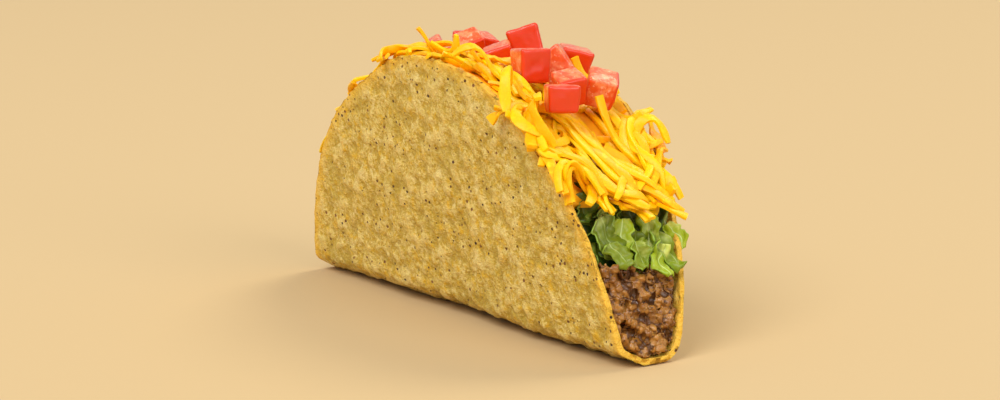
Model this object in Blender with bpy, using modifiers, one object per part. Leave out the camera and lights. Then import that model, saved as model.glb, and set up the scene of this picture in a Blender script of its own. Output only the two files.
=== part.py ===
"""A crisp corn taco standing on its fold, with ground beef, shredded lettuce, shredded cheese and diced tomato.

The shell is one round tortilla, bent along a diameter that lies on +X. The fold rests on z = 0, the near wall
rises towards -Y and the far wall towards +Y. The origin is on the flat under the fold, halfway along it.
Fillings are placed by how far they lie from the fold line along a wall, which is their arc distance.
Run it with: blender --background --python part.py
"""

import math

import bmesh
import bpy
import numpy as np
from mathutils import Euler, Vector, noise

MM = 0.001

# The tortilla
TORTILLA_RADIUS = 72.5 * MM
SHELL_THICKNESS = 1.7 * MM
RIM_WAVE = 0.5 * MM
CLEARANCE = 0.35 * MM
STEEPEST_ROW = math.radians(86.5)
SHARP_CORNER = math.radians(50)

# Bends across the fold, from the fold line up each wall: (arc distance of the bend's middle, turn, bend radius).
# A long bend of large radius is the slight bow of a wall.
NEAR_BENDS = (
    (0.8 * MM, math.radians(27), 3.2 * MM),
    (8.8 * MM, math.radians(54), 3.6 * MM),
    (42.0 * MM, math.radians(3.5), 900.0 * MM),
)
FAR_BENDS = (
    (6.0 * MM, math.radians(18), 6.4 * MM),
    (10.4 * MM, math.radians(58), 7.2 * MM),
    (42.0 * MM, math.radians(-2.0), 1500.0 * MM),
)
FLAT_EDGE_NEAR = 0.0 * MM
FLAT_EDGE_FAR = 4.9 * MM
LONGEST_ARC = 95.0 * MM
ARC_STEPS = 1900

# Layers of filling: arc distance of each layer's top, in the middle of the taco and at its ends
BEEF_TOP_MIDDLE = 37.0 * MM
BEEF_TOP_END = 24.0 * MM
LETTUCE_TOP_MIDDLE = 53.0 * MM
LETTUCE_TOP_END = 40.0 * MM
BEEF_RECESS = 1.4 * MM
BEEF_LUMP, BEEF_RELIEF = 5.0 * MM, 1.3 * MM
LETTUCE_OVERHANG = 3.2 * MM
LETTUCE_LUMP, LETTUCE_RELIEF = 4.0 * MM, 2.0 * MM

# The cheese heap, in polar places round the fold's middle: radius, and angle up from +X.
# It stands a little over the rims, dips between them where the tomato lies, and has a lip outside each wall,
# longest outside the near wall towards +X.
CHEESE_NEAR_END = math.radians(29)
CHEESE_FAR_END = math.radians(147)
CHEESE_DEPTH = 19.0 * MM
CHEESE_OVER_RIM = 2.8 * MM
CHEESE_DIP = 2.4 * MM
CHEESE_LUMP, CHEESE_RELIEF = 7.0 * MM, 1.4 * MM
CHEESE_LIP_THICKNESS = 3.2 * MM
CHEESE_LIP_START, CHEESE_LIP_GAIN = 0.4, 1.3
CHEESE_FAR_LIP = 0.25
CHEESE_END_SLOPE = 8
CHEESE_RELIEF_LEAN = (0.3, 0.5, 1.0)
CHEESE_LIP_SHORT = 3.0 * MM
CHEESE_LIP_LONG = 11.0 * MM
CHEESE_WALL_LINE = 5 / 7
CHEESE_EDGE_LINE = 6 / 7

# Diced tomato: edge of a common piece, and rows of
# (place along the fold, place across it, height, edge lengths over the common edge, turn about X, Y and Z in degrees)
DIE_EDGE = 9.0 * MM
DIE_BEVEL = 0.7 * MM
DIE_TAPER = 0.07
DICE = (
    (43.2, -7.0, 60.6, (0.70, 0.84, 0.75), (-2, -4, -20)),
    (34.6, 1.0, 61.7, (0.78, 0.74, 0.85), (10, 18, -10)),
    (34.7, 10.6, 60.9, (0.88, 0.80, 0.86), (-15, 18, -36)),
    (13.3, 17.2, 64.9, (0.85, 0.85, 0.85), (-14, 4, -25)),
    (18.2, 8.0, 65.2, (0.82, 0.90, 0.85), (40, -6, -40)),
    (22.5, -2.2, 66.2, (0.85, 0.85, 0.95), (-2, -6, -8)),
    (2.4, 2.2, 65.4, (0.80, 0.78, 0.85), (19, 6, -30)),
    (-1.1, 12.2, 68.8, (0.85, 0.88, 0.90), (17, -10, -33)),
    (-15.0, 4.0, 67.2, (0.75, 0.74, 0.72), (20, 25, -10)),
    (-22.7, 12.0, 65.8, (0.80, 0.80, 0.80), (-16, 12, -12)),
    (-33.8, 16.3, 64.6, (0.90, 1.02, 0.90), (-2, -4, -30)),
    (-38.3, 7.6, 62.8, (0.80, 0.74, 0.76), (30, 10, -30)),
    (-19.5, -3.5, 62.3, (0.85, 0.80, 0.70), (10, -20, 5)),
    (-11.0, 15.8, 62.6, (0.85, 0.85, 0.80), (12, 6, 20)),
)

SHELL_COLOUR = (0.72, 0.48, 0.15, 1.0)
BEEF_COLOUR = (0.17, 0.065, 0.022, 1.0)
LETTUCE_COLOUR = (0.18, 0.38, 0.05, 1.0)
CHEESE_COLOUR = (1.0, 0.50, 0.01, 1.0)
TOMATO_COLOUR = (0.78, 0.055, 0.025, 1.0)


def clear_scene():
    for old in list(bpy.data.objects):
        bpy.data.objects.remove(old)


def make_collection(name):
    collection = bpy.data.collections.new(name)
    bpy.context.scene.collection.children.link(collection)
    return collection


def make_material(name, colour, roughness):
    material = bpy.data.materials.new(name)
    material.use_nodes = True
    shader = material.node_tree.nodes["Principled BSDF"]
    shader.inputs["Base Color"].default_value = colour
    shader.inputs["Roughness"].default_value = roughness
    shader.inputs["Metallic"].default_value = 0.0
    return material


def wall_profile(bends):
    """Arc distances from the fold line, with the outward distance, height and slope angle at each."""
    arc = np.linspace(0.0, LONGEST_ARC, ARC_STEPS)
    slope = np.zeros_like(arc)
    for middle, turn, radius in bends:
        run = abs(turn) * radius
        slope += turn * np.clip((arc - middle) / run + 0.5, 0.0, 1.0)
    step = np.diff(arc)
    halfway = (slope[1:] + slope[:-1]) / 2
    outward = np.concatenate([[0.0], np.cumsum(np.cos(halfway) * step)])
    height = np.concatenate([[0.0], np.cumsum(np.sin(halfway) * step)])
    return arc, outward, height, slope


NEAR_WALL = wall_profile(NEAR_BENDS)
FAR_WALL = wall_profile(FAR_BENDS)
FLAT_MIDDLE = (FLAT_EDGE_FAR - FLAT_EDGE_NEAR) / 2


def wall_point(along, arc, depth=0.0):
    """A point on the folded tortilla. A negative arc is on the near wall, and depth goes in from the outer face."""
    side = -1.0 if arc < 0 else 1.0
    arcs, outward, height, slope = NEAR_WALL if arc < 0 else FAR_WALL
    at = abs(arc)
    angle = np.interp(at, arcs, slope)
    y = side * (np.interp(at, arcs, outward) - depth * math.sin(angle)) - FLAT_MIDDLE
    return Vector((along, y, np.interp(at, arcs, height) + depth * math.cos(angle)))


def rim_radius(angle, side):
    """The tortilla's radius at an angle up from +X. It is a little out of round, and each side waves differently."""
    phase = 0.6 if side < 0 else 2.1
    wave = math.sin(5 * angle + phase) + 0.6 * math.sin(11 * angle + 2 * phase)
    return TORTILLA_RADIUS + RIM_WAVE * wave * math.sin(angle)


def reach(arc, side):
    """How far along the fold the tortilla goes at this arc distance."""
    share = min(arc / TORTILLA_RADIUS, 1.0)
    return rim_radius(math.asin(share), side) * math.cos(math.asin(share))


def ripple(point, size, height):
    """Smooth uneven relief for a heap, of the given lump size and height."""
    return height * noise.noise(point / size)


def make_folded_sheet(name, grow, columns, rows, collection, material):
    """The tortilla as an open grid on its outer face, bent and thickened inwards. grow swells it into a cutter."""
    sheet = bmesh.new()
    bmesh.ops.create_grid(sheet, x_segments=columns, y_segments=rows, size=1.0)
    for vert in sheet.verts:
        u, v = vert.co.x, vert.co.y
        angle = STEEPEST_ROW * v
        side = -1.0 if v < 0 else 1.0
        radius = rim_radius(abs(angle), side) + grow
        half_length = radius * math.cos(angle)
        vert.co = wall_point(u * half_length, radius * math.sin(angle), -grow)
    mesh = bpy.data.meshes.new(name)
    sheet.to_mesh(mesh)
    sheet.free()
    folded = bpy.data.objects.new(name, mesh)
    collection.objects.link(folded)
    wall = folded.modifiers.new("wall", "SOLIDIFY")
    wall.thickness = SHELL_THICKNESS + 2 * grow
    wall.offset = 1.0
    wall.use_even_offset = True
    if material:
        mesh.materials.append(material)
    return folded


def make_block(name, cuts, shape, collection, material):
    """A cube subdivided by cuts along X, Y and Z, with each corner (-1 to 1 on every axis) moved by shape."""
    block = bmesh.new()
    bmesh.ops.create_cube(block, size=2.0)
    for axis, count in enumerate(cuts):
        edges = [
            edge
            for edge in block.edges
            if abs((edge.verts[0].co - edge.verts[1].co)[axis]) > 1e-6
        ]
        bmesh.ops.subdivide_edges(block, edges=edges, cuts=count, use_grid_fill=True)
    for vert in block.verts:
        vert.co = shape(*vert.co)
    bmesh.ops.recalc_face_normals(block, faces=block.faces)
    mesh = bpy.data.meshes.new(name)
    block.to_mesh(mesh)
    block.free()
    mesh.shade_smooth()
    mesh.set_sharp_from_angle(angle=SHARP_CORNER)
    if material:
        mesh.materials.append(material)
    filling = bpy.data.objects.new(name, mesh)
    collection.objects.link(filling)
    return filling


def between_walls(along, near_arc, far_arc, across):
    """A point between the walls: across is -1 inside the near wall and 1 inside the far wall."""
    depth = SHELL_THICKNESS / 2
    near = wall_point(along, -near_arc, depth)
    far = wall_point(along, far_arc, depth)
    return near.lerp(far, (across + 1) / 2)


def beef_top(u):
    return BEEF_TOP_END + (BEEF_TOP_MIDDLE - BEEF_TOP_END) * (1 - u * u)


def lettuce_top(u):
    return LETTUCE_TOP_END + (LETTUCE_TOP_MIDDLE - LETTUCE_TOP_END) * (1 - u * u)


def beef_shape(u, across, level):
    """Beef lies in the fold, and shows a crumbled face just inside the rim at both ends."""
    share = (level + 1) / 2
    top = beef_top(u)
    near_arc = FLAT_EDGE_NEAR + share * (top - FLAT_EDGE_NEAR)
    far_arc = FLAT_EDGE_FAR + share * (top - FLAT_EDGE_FAR)
    length = min(reach(near_arc, -1), reach(far_arc, 1)) - BEEF_RECESS
    place = between_walls(u * length, near_arc, far_arc, across)
    if abs(u) > 0.999:
        place.x += ripple(place, BEEF_LUMP, BEEF_RELIEF)
    return place


def lettuce_shape(u, across, level):
    """Lettuce lies on the beef, and its ends hang out a little past the rim."""
    share = (level + 1) / 2
    low = beef_top(u) + CLEARANCE
    arc = low + share * (lettuce_top(u) - low)
    length = min(reach(arc, -1), reach(arc, 1)) + LETTUCE_OVERHANG * abs(across * across - 1)
    place = between_walls(u * length, arc, arc, across)
    if abs(u) > 0.999:
        place.x += ripple(place, LETTUCE_LUMP, LETTUCE_RELIEF)
    return place


def filling_cutter_shape(u, across, level):
    """All that the beef and lettuce take up, with room round it, and wide enough to run into the walls."""
    share = (level + 1) / 2
    arc = FLAT_EDGE_FAR + share * (lettuce_top(u) + CLEARANCE - FLAT_EDGE_FAR)
    length = min(reach(arc, -1), reach(arc, 1)) + LETTUCE_OVERHANG + 2 * CLEARANCE
    return between_walls(u * length, arc, arc, across)


def cheese_shape(u, across, level):
    """Cheese is heaped on the lettuce and over both rims. The two outermost lines on each side make its lips."""
    angle = CHEESE_NEAR_END + (CHEESE_FAR_END - CHEESE_NEAR_END) * (1 - u) / 2
    spread = min(abs(across) / CHEESE_WALL_LINE, 1.0)
    crown = CHEESE_OVER_RIM - CHEESE_DIP * (1 - spread * spread)
    high = TORTILLA_RADIUS + crown * (1 - u**CHEESE_END_SLOPE)
    low = TORTILLA_RADIUS - CHEESE_DEPTH
    if abs(across) > (CHEESE_WALL_LINE + CHEESE_EDGE_LINE) / 2:
        near_lip = max(0.0, min(1.0, CHEESE_LIP_START + CHEESE_LIP_GAIN * u))
        longer = near_lip if across < 0 else CHEESE_FAR_LIP
        low = TORTILLA_RADIUS - CHEESE_LIP_SHORT - (CHEESE_LIP_LONG - CHEESE_LIP_SHORT) * longer
    radius = low + (level + 1) / 2 * (high - low)
    along, arc = radius * math.cos(angle), radius * math.sin(angle)
    if abs(across) > (1 + CHEESE_EDGE_LINE) / 2:
        side_arc = math.copysign(arc - CHEESE_LIP_SHORT * (level + 1) / 4, across)
        place = wall_point(along, side_arc, -CHEESE_LIP_THICKNESS)
    elif abs(across) > (CHEESE_WALL_LINE + CHEESE_EDGE_LINE) / 2:
        place = wall_point(along, math.copysign(arc, across), CLEARANCE)
    else:
        place = between_walls(along, arc, arc, math.copysign(spread, across))
    if level > 0.999 or abs(across) > 0.999:
        lean_along, lean_across, lean_up = CHEESE_RELIEF_LEAN
        lean = Vector((lean_along, lean_across * across, lean_up))
        place += lean * ripple(place, CHEESE_LUMP, CHEESE_RELIEF)
    return place


def make_die(name, row, grow, collection, material):
    """One tomato die: a cube drawn to its own edge lengths, a little wedge-shaped, with softened edges."""
    along, across, height, edges, turns = row
    die = bmesh.new()
    bmesh.ops.create_cube(die, size=1.0)
    for vert in die.verts:
        taper = 1 + DIE_TAPER * (2 * vert.co.z + vert.co.x)
        size = Vector(edges) * DIE_EDGE + Vector((grow, grow, grow)) * 2
        vert.co = Vector((vert.co.x * size.x * taper, vert.co.y * size.y * taper, vert.co.z * size.z))
    mesh = bpy.data.meshes.new(name)
    die.to_mesh(mesh)
    die.free()
    piece = bpy.data.objects.new(name, mesh)
    collection.objects.link(piece)
    piece.location = Vector((along, across, height)) * MM
    piece.rotation_euler = Euler([math.radians(turn) for turn in turns])
    if material:
        mesh.materials.append(material)
        edge = piece.modifiers.new("edges", "BEVEL")
        edge.width = DIE_BEVEL
        edge.segments = 2
    return piece


def cut_away(piece, cutters, name):
    cut = piece.modifiers.new(name, "BOOLEAN")
    cut.operation = "DIFFERENCE"
    cut.solver = "EXACT"
    if isinstance(cutters, bpy.types.Collection):
        cut.operand_type = "COLLECTION"
        cut.collection = cutters
    else:
        cut.object = cutters


def hide_cutter(cutter):
    cutter.hide_render = True
    cutter.display_type = "WIRE"


clear_scene()
taco = make_collection("taco")
cutting_tools = make_collection("cutters")
die_pockets = make_collection("die_pockets")

shell_finish = make_material("corn_shell", SHELL_COLOUR, 0.65)
beef_finish = make_material("ground_beef", BEEF_COLOUR, 0.5)
lettuce_finish = make_material("lettuce", LETTUCE_COLOUR, 0.4)
cheese_finish = make_material("shredded_cheese", CHEESE_COLOUR, 0.4)
tomato_finish = make_material("tomato", TOMATO_COLOUR, 0.25)

shell = make_folded_sheet("shell", 0.0, 16, 44, taco, shell_finish)
beef = make_block("beef", (13, 5, 5), beef_shape, taco, beef_finish)
lettuce = make_block("lettuce", (13, 5, 3), lettuce_shape, taco, lettuce_finish)
cheese = make_block("cheese", (23, 13, 2), cheese_shape, taco, cheese_finish)

wall_cutter = make_folded_sheet("wall_cutter", CLEARANCE, 16, 44, cutting_tools, None)
hide_cutter(wall_cutter)
for filling in (beef, lettuce, cheese):
    cut_away(filling, wall_cutter, "room_for_walls")
filling_cutter = make_block("filling_cutter", (13, 1, 4), filling_cutter_shape, cutting_tools, None)
hide_cutter(filling_cutter)
cut_away(cheese, filling_cutter, "room_for_lettuce")

for number, row in enumerate(DICE, start=1):
    make_die(f"tomato_{number:02d}", row, 0.0, taco, tomato_finish)
    hide_cutter(make_die(f"pocket_{number:02d}", row, CLEARANCE, die_pockets, None))
cut_away(cheese, die_pockets, "room_for_dice")
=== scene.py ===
import math

import bmesh
import bpy
import numpy as np
from mathutils import Matrix, Vector, noise
from mathutils.bvhtree import BVHTree


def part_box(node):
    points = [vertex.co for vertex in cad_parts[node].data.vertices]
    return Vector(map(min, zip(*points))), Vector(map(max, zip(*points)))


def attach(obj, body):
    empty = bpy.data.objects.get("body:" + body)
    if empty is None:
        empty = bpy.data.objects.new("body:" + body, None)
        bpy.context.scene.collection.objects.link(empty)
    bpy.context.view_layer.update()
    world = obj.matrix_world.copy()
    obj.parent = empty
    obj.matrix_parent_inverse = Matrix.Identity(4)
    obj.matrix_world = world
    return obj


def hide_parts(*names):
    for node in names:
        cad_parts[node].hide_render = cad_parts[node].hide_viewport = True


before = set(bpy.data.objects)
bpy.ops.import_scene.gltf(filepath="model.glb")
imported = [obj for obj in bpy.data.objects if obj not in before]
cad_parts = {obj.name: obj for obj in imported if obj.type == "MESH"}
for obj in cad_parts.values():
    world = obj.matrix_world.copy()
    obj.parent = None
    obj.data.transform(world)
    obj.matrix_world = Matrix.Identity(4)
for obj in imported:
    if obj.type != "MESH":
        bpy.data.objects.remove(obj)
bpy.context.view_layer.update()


# The shell: one round tortilla of ground corn, pressed thin, cut round and fried crisp over a bar.
# It is bent in short creases at both sides of its fold, stands on the flat between them, and is blistered,
# pitted and flecked all over.
MM = 0.001
SHELL_LOW, SHELL_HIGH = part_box("shell")
TORTILLA_RADIUS = (SHELL_HIGH[0] - SHELL_LOW[0]) / 2
SHELL_THICKNESS = 1.35 * MM
SHELL_GRID = 206

# Bends across the fold, from the fold line up each wall: arc distance of the bend's middle, turn, bend radius
NEAR_BENDS = (
    (0.8 * MM, math.radians(27), 3.2 * MM),
    (8.8 * MM, math.radians(54), 3.6 * MM),
    (42.0 * MM, math.radians(3.5), 900.0 * MM),
)
FAR_BENDS = (
    (6.0 * MM, math.radians(18), 6.4 * MM),
    (10.4 * MM, math.radians(58), 7.2 * MM),
    (42.0 * MM, math.radians(-2.0), 1500.0 * MM),
)
FLAT_MIDDLE = 2.45 * MM
LONGEST_ARC = 95.0 * MM
FOLD_LIFT, FOLD_LIFT_REACH = 0.9 * MM, 20 * MM
RIM_BAND, RIM_THINNING, RIM_CALM = 4.5 * MM, 0.35, 0.75
BLISTER_HEIGHT = 0.40 * MM
FLOOR_SINK = 0.1 * MM


def wall_profile(bends):
    """Arc distances from the fold line, with the outward distance, height and slope angle at each."""
    arc = np.linspace(0.0, LONGEST_ARC, 1900)
    slope = np.zeros_like(arc)
    for middle, turn, radius in bends:
        slope += turn * np.clip((arc - middle) / (abs(turn) * radius) + 0.5, 0.0, 1.0)
    step = np.diff(arc)
    halfway = (slope[1:] + slope[:-1]) / 2
    outward = np.concatenate([[0.0], np.cumsum(np.cos(halfway) * step)])
    height = np.concatenate([[0.0], np.cumsum(np.sin(halfway) * step)])
    return arc, outward, height, slope


NEAR_WALL = wall_profile(NEAR_BENDS)
FAR_WALL = wall_profile(FAR_BENDS)


def on_wall(along, arc, depth=0.0):
    """Points on the folded tortilla. Negative arcs are on the near wall, and depth goes in from outside."""
    along, arc, depth = np.broadcast_arrays(np.asarray(along, float), arc, depth)
    place = np.zeros(along.shape + (3,))
    place[..., 0] = along
    for wall, side in ((NEAR_WALL, -1.0), (FAR_WALL, 1.0)):
        here = (arc < 0) if side < 0 else (arc >= 0)
        arcs, outward, height, slope = wall
        at = np.abs(arc[here])
        angle = np.interp(at, arcs, slope)
        place[here, 1] = side * (np.interp(at, arcs, outward) - depth[here] * np.sin(angle)) - FLAT_MIDDLE
        place[here, 2] = np.interp(at, arcs, height) + depth[here] * np.cos(angle)
    return place


def rim_radius(angle, side):
    """The tortilla's radius at an angle up from +X. It is a little out of round, and its edge is crumbly."""
    phase = np.where(side < 0, 0.6, 2.1)
    wave = np.sin(5 * angle + phase) + 0.6 * np.sin(11 * angle + 2 * phase)
    ragged = np.array([
        0.45 * noise.noise(Vector((9 * a, 3 * s, 0.7))) + 0.5 * noise.noise(Vector((31 * a, 5 * s, 4.1)))
        for a, s in zip(angle, side)
    ])
    return TORTILLA_RADIUS - 0.3 * MM + (0.5 * wave + 1.1 * ragged) * MM * np.sin(angle)


def vertex_places(piece):
    """The piece's vertex places as an array."""
    places = np.empty(len(piece.data.vertices) * 3)
    piece.data.vertices.foreach_get("co", places)
    return places.reshape(-1, 3)


def move_vertices(piece, places):
    piece.data.vertices.foreach_set("co", np.asarray(places).ravel())
    piece.data.update()


def select_only(piece):
    bpy.ops.object.select_all(action="DESELECT")
    piece.select_set(True)
    bpy.context.view_layer.objects.active = piece


def apply_modifier(piece, kind, **settings):
    """Adds a modifier with these settings to the piece and applies it."""
    select_only(piece)
    modifier = piece.modifiers.new(kind.lower(), kind)
    for name, value in settings.items():
        setattr(modifier, name, value)
    bpy.ops.object.modifier_apply(modifier=modifier.name)


def store_crest(piece, before, normals, low, high):
    """Keeps how far each vertex has been pushed out, from 0 at low to 1 at high, for the finish to read."""
    pushed = ((vertex_places(piece) - before) * normals).sum(axis=1)
    layer = piece.data.attributes.new("crest", "FLOAT", "POINT")
    layer.data.foreach_set("value", np.clip((pushed - low) / (high - low), 0, 1))


def vertex_normals(piece):
    normals = np.empty(len(piece.data.vertices) * 3)
    piece.data.vertices.foreach_get("normal", normals)
    return normals.reshape(-1, 3)


def roughen(piece, name, size, depth, strength):
    """Pushes the surface in and out by clouds of this size, over a range of this strength."""
    clouds = bpy.data.textures.new(name, "CLOUDS")
    clouds.noise_scale = size
    clouds.noise_depth = depth
    apply_modifier(
        piece, "DISPLACE", texture=clouds, texture_coords="LOCAL", strength=strength, mid_level=0.5
    )


def add_node(tree, kind, inputs=None, **settings):
    """Adds a shader node. Each input is a value or the socket that feeds it."""
    node = tree.nodes.new("ShaderNode" + kind)
    for name, value in settings.items():
        setattr(node, name, value)
    for name, value in (inputs or {}).items():
        if isinstance(value, bpy.types.NodeSocket):
            tree.links.new(value, node.inputs[name])
        else:
            node.inputs[name].default_value = value
    return node


def mix_colours(tree, share, first, second):
    """A colour between first and second, by share. Each is a value or a socket."""
    node = tree.nodes.new("ShaderNodeMix")
    node.data_type = "RGBA"
    for index, value in ((0, share), (6, first), (7, second)):
        if isinstance(value, bpy.types.NodeSocket):
            tree.links.new(value, node.inputs[index])
        else:
            node.inputs[index].default_value = value
    return node.outputs[2]


def step_between(tree, value, low, high):
    """0 below low, 1 above high and smooth between. It falls instead where low is above high."""
    node = add_node(tree, "MapRange", {"Value": value}, interpolation_type="SMOOTHSTEP")
    node.inputs["From Min"].default_value = min(low, high)
    node.inputs["From Max"].default_value = max(low, high)
    node.inputs["To Min"].default_value = 0.0 if low < high else 1.0
    node.inputs["To Max"].default_value = 1.0 if low < high else 0.0
    return node.outputs["Result"]


def combine(tree, operation, first, second):
    return add_node(tree, "Math", {0: first, 1: second}, operation=operation).outputs[0]


def noise_on(tree, where, per_metre, detail, roughness=0.5):
    inputs = {"Vector": where, "Scale": per_metre, "Detail": detail, "Roughness": roughness}
    return add_node(tree, "TexNoise", inputs).outputs["Fac"]


def read_attribute(tree, name):
    return add_node(tree, "Attribute", attribute_name=name).outputs["Fac"]


def start_material(name, **sockets):
    """A new material with these values on its Principled shader. Returns it with its tree and shader."""
    material = bpy.data.materials.new(name)
    material.use_nodes = True
    shader = material.node_tree.nodes["Principled BSDF"]
    for socket, value in sockets.items():
        shader.inputs[socket.replace("_", " ")].default_value = value
    return material, material.node_tree, shader


def finish_material(tree, shader, colour, height, strength, distance):
    """Gives the shader its colour and a bump from this height."""
    tree.links.new(colour, shader.inputs["Base Color"])
    bump = add_node(tree, "Bump", {"Height": height, "Strength": strength, "Distance": distance})
    tree.links.new(bump.outputs["Normal"], shader.inputs["Normal"])


def give_finish(piece, material):
    piece.data.materials.clear()
    piece.data.materials.append(material)


def fried_corn():
    """Fried corn: ochre and paler grains, orange towards the rim and small dark flecks, with painted shade in
    the dents and in broad olive patches and painted light on the blister crests.
    """
    material, tree, shader = start_material(
        "fried_corn", Roughness=0.58, Subsurface_Weight=0.10, Subsurface_Scale=0.0012,
        Subsurface_Radius=(1.0, 0.6, 0.2),
    )
    where = add_node(tree, "TexCoord").outputs["Object"]
    broad = noise_on(tree, where, 80, 3)
    blotch = noise_on(tree, where, 420, 4, 0.62)
    grain = noise_on(tree, where, 1150, 3, 0.65)
    grains = step_between(tree, grain, 0.38, 0.64)
    colour = mix_colours(tree, grains, (0.58, 0.36, 0.025, 1), (0.83, 0.62, 0.18, 1))
    colour = mix_colours(tree, step_between(tree, blotch, 0.50, 0.68), colour, (0.76, 0.445, 0.018, 1))
    colour = mix_colours(tree, step_between(tree, blotch, 0.44, 0.30), colour, (0.86, 0.67, 0.25, 1))
    crest = read_attribute(tree, "crest")
    # Painted shade: where the surface was pushed in, the dents are darkened to a dull ochre.
    dent = combine(tree, "MULTIPLY", step_between(tree, crest, 0.42, 0.10), 0.6)
    colour = mix_colours(tree, dent, colour, (0.49, 0.310, 0.030, 1))
    # Painted light: where the surface was pushed out, the blister crests are made paler.
    painted_crest_light = combine(tree, "MULTIPLY", step_between(tree, crest, 0.58, 0.90), 0.5)
    colour = mix_colours(tree, painted_crest_light, colour, (0.92, 0.70, 0.25, 1))
    # Painted shade: broad darker olive patches, laid by slow noise.
    painted_olive_shade = combine(tree, "MULTIPLY", step_between(tree, broad, 0.50, 0.70), 0.45)
    colour = mix_colours(tree, painted_olive_shade, colour, (0.53, 0.37, 0.045, 1))
    rim = read_attribute(tree, "rim")
    toasted = combine(tree, "MULTIPLY", rim, 0.9)
    colour = mix_colours(tree, toasted, colour, (0.92, 0.52, 0.035, 1))
    flecks = add_node(tree, "TexVoronoi", {"Vector": where, "Scale": 560.0, "Randomness": 1.0})
    chosen = add_node(tree, "SeparateColor", {"Color": flecks.outputs["Color"]})
    shrink = combine(tree, "MULTIPLY", chosen.outputs["Red"], 0.12)
    near = combine(tree, "ADD", flecks.outputs["Distance"], shrink)
    spot = step_between(tree, near, 0.28, 0.19)
    rare = step_between(tree, chosen.outputs["Green"], 0.54, 0.56)
    spot = combine(tree, "MULTIPLY", spot, rare)
    fleck_colour = mix_colours(tree, chosen.outputs["Blue"], (0.060, 0.022, 0.008, 1), (0.32, 0.12, 0.025, 1))
    colour = mix_colours(tree, spot, colour, fleck_colour)
    lumps = combine(tree, "ADD", blotch, grain)
    relief = combine(tree, "SUBTRACT", lumps, spot)
    finish_material(tree, shader, colour, relief, 0.85, 0.0010)
    return material


def make_shell():
    """A square grid drawn out to a disc, bent over the fold, thickened, thinner at the rim, and blistered."""
    bpy.ops.mesh.primitive_grid_add(x_subdivisions=SHELL_GRID, y_subdivisions=SHELL_GRID, size=2.0)
    shell = bpy.context.object
    shell.name = shell.data.name = "tortilla_shell"
    flat = vertex_places(shell)
    across, up = flat[:, 0], flat[:, 1]
    disc = np.stack([across * np.sqrt(1 - up * up / 2), up * np.sqrt(1 - across * across / 2)], axis=1)
    share = np.hypot(disc[:, 0], disc[:, 1])
    side = np.where(disc[:, 1] < 0, -1.0, 1.0)
    angle = np.arctan2(np.abs(disc[:, 1]), disc[:, 0])
    scale = rim_radius(angle, side)
    along, arc = disc[:, 0] * scale, disc[:, 1] * scale
    folded = on_wall(along, arc)
    by_fold = np.clip(1 - np.abs(arc) / FOLD_LIFT_REACH, 0, 1)
    folded[:, 2] += FOLD_LIFT * (1 - (along / TORTILLA_RADIUS) ** 2) * by_fold
    move_vertices(shell, folded)
    rim = shell.data.attributes.new("rim", "FLOAT", "POINT")
    rim.data.foreach_set("value", np.clip(1 - (1 - share) * TORTILLA_RADIUS / RIM_BAND, 0, 1) ** 1.5)
    roughen(shell, "wall_waves", 30 * MM, 0, 1.3 * MM)
    wall = shell.vertex_groups.new(name="wall")
    for vertex, thinned in zip(shell.data.vertices, rim.data):
        wall.add((vertex.index,), 1 - RIM_THINNING * thinned.value, "REPLACE")
    apply_modifier(
        shell, "SOLIDIFY", thickness=SHELL_THICKNESS, offset=1.0, use_even_offset=True, vertex_group="wall"
    )
    apply_modifier(
        shell, "BEVEL", width=0.4 * MM, segments=2, limit_method="ANGLE", angle_limit=math.radians(50)
    )
    before, normals = vertex_places(shell), vertex_normals(shell)
    roughen(shell, "blisters", 3.8 * MM, 2, 1.75 * MM)
    roughen(shell, "pits", 2.0 * MM, 0, 0.55 * MM)
    store_crest(shell, before, normals, -BLISTER_HEIGHT, BLISTER_HEIGHT)
    near_rim = np.empty(len(before))
    shell.data.attributes["rim"].data.foreach_get("value", near_rim)
    places = before + (vertex_places(shell) - before) * (1 - RIM_CALM * near_rim[:, None])
    places[:, 2] = np.maximum(places[:, 2] - FLOOR_SINK, 0.0)
    move_vertices(shell, places)
    shell.data.shade_smooth()
    give_finish(shell, fried_corn())
    return shell


tortilla_shell = make_shell()
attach(tortilla_shell, "root")
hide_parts("shell")


# The ground beef: browned, crumbled and simmered, packed down into the fold. It shows as a wet crumbled face
# at both ends, so the crumbs are heaped there over a plain core that fills the rest of the fold.
BEEF_TOP_END, BEEF_TOP_MIDDLE = 24.0 * MM, 37.0 * MM
BEEF_CORE_RECESS = 4.0 * MM
BEEF_FACE_RECESS = 0.5 * MM
FLAT_EDGE_NEAR, FLAT_EDGE_FAR = 0.0 * MM, 4.9 * MM
INNER_FACE = 1.7 * MM
CRUMBS_PER_END, BACKING_LUMPS_PER_END = 430, 60
CRUMB_SPILL = 4.5 * MM
BACKING_DEPTH, BACKING_RADIUS = 4.4 * MM, 2.2 * MM


def new_piece(name, data):
    piece = bpy.data.objects.new(name, data)
    bpy.context.scene.collection.objects.link(piece)
    return piece


def piece_from(work, name):
    """A piece holding this bmesh, which is freed."""
    mesh = bpy.data.meshes.new(name)
    work.to_mesh(mesh)
    work.free()
    return new_piece(name, mesh)


def reach(arc):
    """How far along the fold the tortilla goes at this arc distance."""
    return np.sqrt(np.maximum(TORTILLA_RADIUS**2 - np.asarray(arc) ** 2, 0.0))


def between_walls(along, near_arc, far_arc, across):
    """Points between the two inner faces: across is -1 at the near wall and 1 at the far wall."""
    near = on_wall(along, -np.asarray(near_arc), INNER_FACE)
    far = on_wall(along, np.asarray(far_arc), INNER_FACE)
    share = ((np.asarray(across) + 1) / 2)[..., None]
    return near + (far - near) * share


def layer_top(end, middle, u):
    """The arc distance of a layer's top, from its end (u is -1 or 1) to its middle (u is 0)."""
    return end + (middle - end) * (1 - u * u)


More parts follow.
